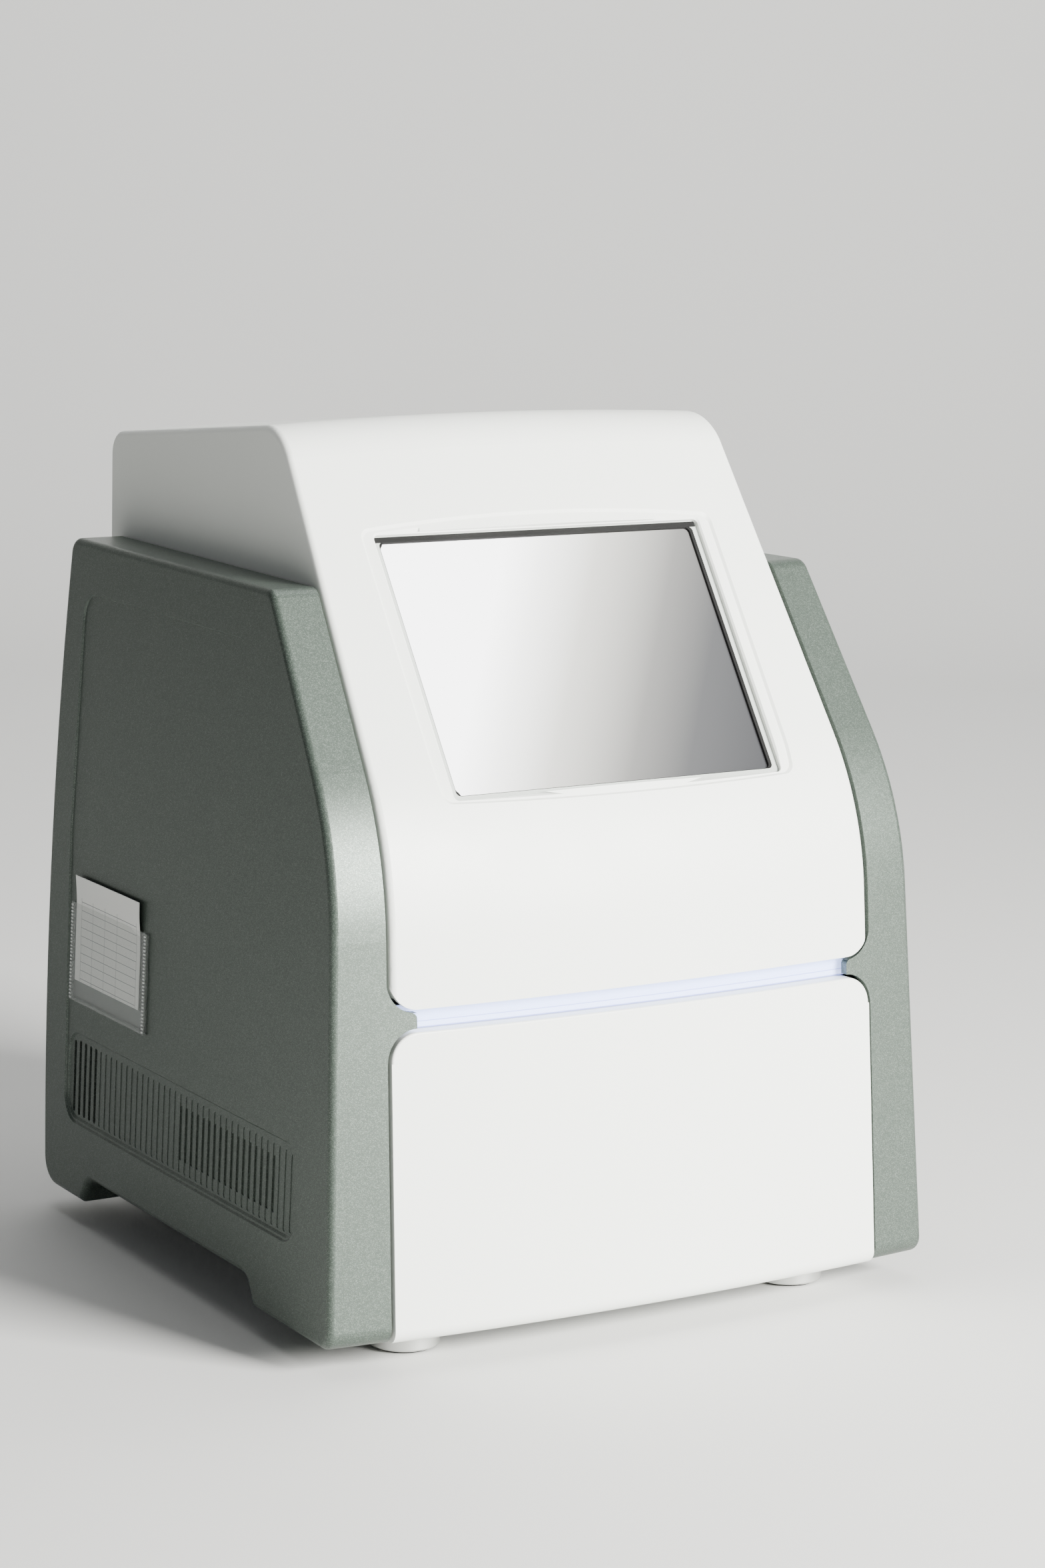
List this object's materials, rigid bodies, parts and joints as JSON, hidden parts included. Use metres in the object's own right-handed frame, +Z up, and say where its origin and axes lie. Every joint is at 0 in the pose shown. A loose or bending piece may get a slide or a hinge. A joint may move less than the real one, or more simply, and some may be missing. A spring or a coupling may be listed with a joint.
{
  "type": "real-time pcr machine",
  "caption": "Bench-top real-time PCR instrument with a sloping touch display, bowed front drawer, painted side covers, heated lid and camera optics.",
  "frame": {"origin": "centre of the footprint, on the bench under the feet", "axes": "+X to the right seen from the front, +Y to the rear, +Z up"},
  "size_m": [0.4014, 0.4154, 0.5005],
  "materials": {
    "upper_housing": "satin white moulding, fine texture",
    "left_side_cover": "grey-green metallic paint",
    "right_side_cover": "grey-green metallic paint",
    "light_bar": "translucent, lit from within",
    "light_carrier": "black moulding",
    "display_bezel": "grey moulding",
    "display_gasket": "black foam gasket",
    "display_glass": "anti-glare touch glass",
    "display_module": "display panel",
    "display_frame": "zinc-plated sheet",
    "base_plate": "zinc-plated sheet",
    "side_frames": "zinc-plated sheet",
    "deck_plate": "zinc-plated sheet",
    "rear_panel": "powder-coated sheet",
    "front_feet": "bead-blasted",
    "front_foot_pads": "black rubber",
    "rear_feet": "black rubber",
    "fixed_rails": "rolled steel",
    "left_middle_rail": "rolled steel",
    "right_middle_rail": "rolled steel",
    "drawer_rails": "rolled steel",
    "drawer_front": "satin white moulding, fine texture",
    "drawer_back_plate": "zinc-plated sheet",
    "drawer_tray": "zinc-plated sheet",
    "drawer_surround": "dark grey moulding",
    "sample_block": "machined and plated",
    "peltier_modules": "white ceramic",
    "heat_sink": "extruded",
    "lead_screw": "ground steel",
    "screw_bearing": "machined",
    "drawer_nut": "acetal",
    "drawer_motor": "black motor",
    "heated_lid": "machined",
    "lid_window": "clear heated glass",
    "lid_carrier": "machined",
    "lid_actuators": "black motors",
    "optics_housing": "black moulding",
    "field_lens": "coated glass",
    "beam_splitter": "coated glass",
    "led_unit": "black anodised",
    "filter_wheel": "black anodised",
    "optical_filters": "interference filters",
    "wheel_motor": "black motor",
    "camera_bridge": "black anodised",
    "camera_lens": "black lens barrel",
    "camera_body": "black anodised",
    "fan_frames": "black moulding",
    "left_fan_rotor": "black moulding",
    "right_fan_rotor": "black moulding",
    "power_supply": "zinc-plated sheet",
    "main_board": "solder-resist green",
    "board_parts": "black packages",
    "sockets": "plated shells",
    "power_inlet": "black moulding",
    "inlet_pins": "nickel-plated",
    "switch_frame": "black moulding",
    "switch_rocker": "black moulding",
    "document_pouch": "clear vinyl",
    "record_card": "printed card, left blank"
  },
  "bodies": {
    "chassis": {"upper_housing": "upper_housing", "left_side_cover": "left_side_cover", "right_side_cover": "right_side_cover", "light_bar": "light_bar", "light_carrier": "light_carrier", "display_bezel": "display_bezel", "display_gasket": "display_gasket", "display_glass": "display_glass", "display_module": "display_module", "display_frame": "display_frame", "base_plate": "base_plate", "side_frames": "side_frames", "deck_plate": "deck_plate", "rear_panel": "rear_panel", "front_feet": "front_feet", "front_foot_pads": "front_foot_pads", "rear_feet": "rear_feet", "fixed_rails": "fixed_rails", "screw_bearing": "screw_bearing", "drawer_motor": "drawer_motor", "lid_actuators": "lid_actuators", "optics_housing": "optics_housing", "field_lens": "field_lens", "beam_splitter": "beam_splitter", "led_unit": "led_unit", "wheel_motor": "wheel_motor", "camera_bridge": "camera_bridge", "camera_lens": "camera_lens", "camera_body": "camera_body", "fan_frames": "fan_frames", "power_supply": "power_supply", "main_board": "main_board", "board_parts": "board_parts", "sockets": "sockets", "power_inlet": "power_inlet", "inlet_pins": "inlet_pins", "switch_frame": "switch_frame", "document_pouch": "document_pouch"},
    "drawer": {"drawer_front": "drawer_front", "drawer_back_plate": "drawer_back_plate", "drawer_tray": "drawer_tray", "drawer_surround": "drawer_surround", "sample_block": "sample_block", "peltier_modules": "peltier_modules", "heat_sink": "heat_sink", "drawer_rails": "drawer_rails", "drawer_nut": "drawer_nut"},
    "left_runner": {"left_middle_rail": "left_middle_rail"},
    "right_runner": {"right_middle_rail": "right_middle_rail"},
    "screw": {"lead_screw": "lead_screw"},
    "lid": {"heated_lid": "heated_lid", "lid_window": "lid_window", "lid_carrier": "lid_carrier"},
    "wheel": {"filter_wheel": "filter_wheel", "optical_filters": "optical_filters"},
    "left_fan": {"left_fan_rotor": "left_fan_rotor"},
    "right_fan": {"right_fan_rotor": "right_fan_rotor"},
    "rocker": {"switch_rocker": "switch_rocker"},
    "card": {"record_card": "record_card"}
  },
  "joints": [
    {"name": "drawer_slide", "type": "slide", "parent": "chassis", "child": "drawer", "axis": [0, -1, 0], "range_m": [0, 0.19]},
    {"name": "left_runner_slide", "type": "slide", "parent": "chassis", "child": "left_runner", "axis": [0, -1, 0], "range_m": [0, 0.095]},
    {"name": "right_runner_slide", "type": "slide", "parent": "chassis", "child": "right_runner", "axis": [0, -1, 0], "range_m": [0, 0.095]},
    {"name": "screw_spin", "type": "hinge", "parent": "chassis", "child": "screw", "pos_m": [0, 0, 0.044], "axis": [0, 1, 0], "continuous": true},
    {"name": "lid_lift", "type": "slide", "parent": "chassis", "child": "lid", "axis": [0, 0, -1], "range_m": [0, 0.008]},
    {"name": "wheel_spin", "type": "hinge", "parent": "chassis", "child": "wheel", "pos_m": [0, -0.02, 0.306], "axis": [0, 0, 1], "continuous": true},
    {"name": "left_fan_spin", "type": "hinge", "parent": "chassis", "child": "left_fan", "pos_m": [-0.048, 0.184, 0.14], "axis": [0, 1, 0], "continuous": true},
    {"name": "right_fan_spin", "type": "hinge", "parent": "chassis", "child": "right_fan", "pos_m": [0.048, 0.184, 0.14], "axis": [0, 1, 0], "continuous": true},
    {"name": "power_rocker", "type": "hinge", "parent": "chassis", "child": "rocker", "pos_m": [-0.032, 0.194, 0.052], "axis": [1, 0, 0], "range_deg": [-18, 0]},
    {"name": "card_slide", "type": "slide", "parent": "chassis", "child": "card", "axis": [0.0343, 0, 0.9994], "range_m": [0, 0.055]}
  ],
  "couplings": [
    {"joint": "left_runner_slide", "follows": "drawer_slide", "ratio": 0.5},
    {"joint": "right_runner_slide", "follows": "drawer_slide", "ratio": 0.5},
    {"joint": "screw_spin", "follows": "drawer_slide", "rad_per_m": 165.35}
  ]
}
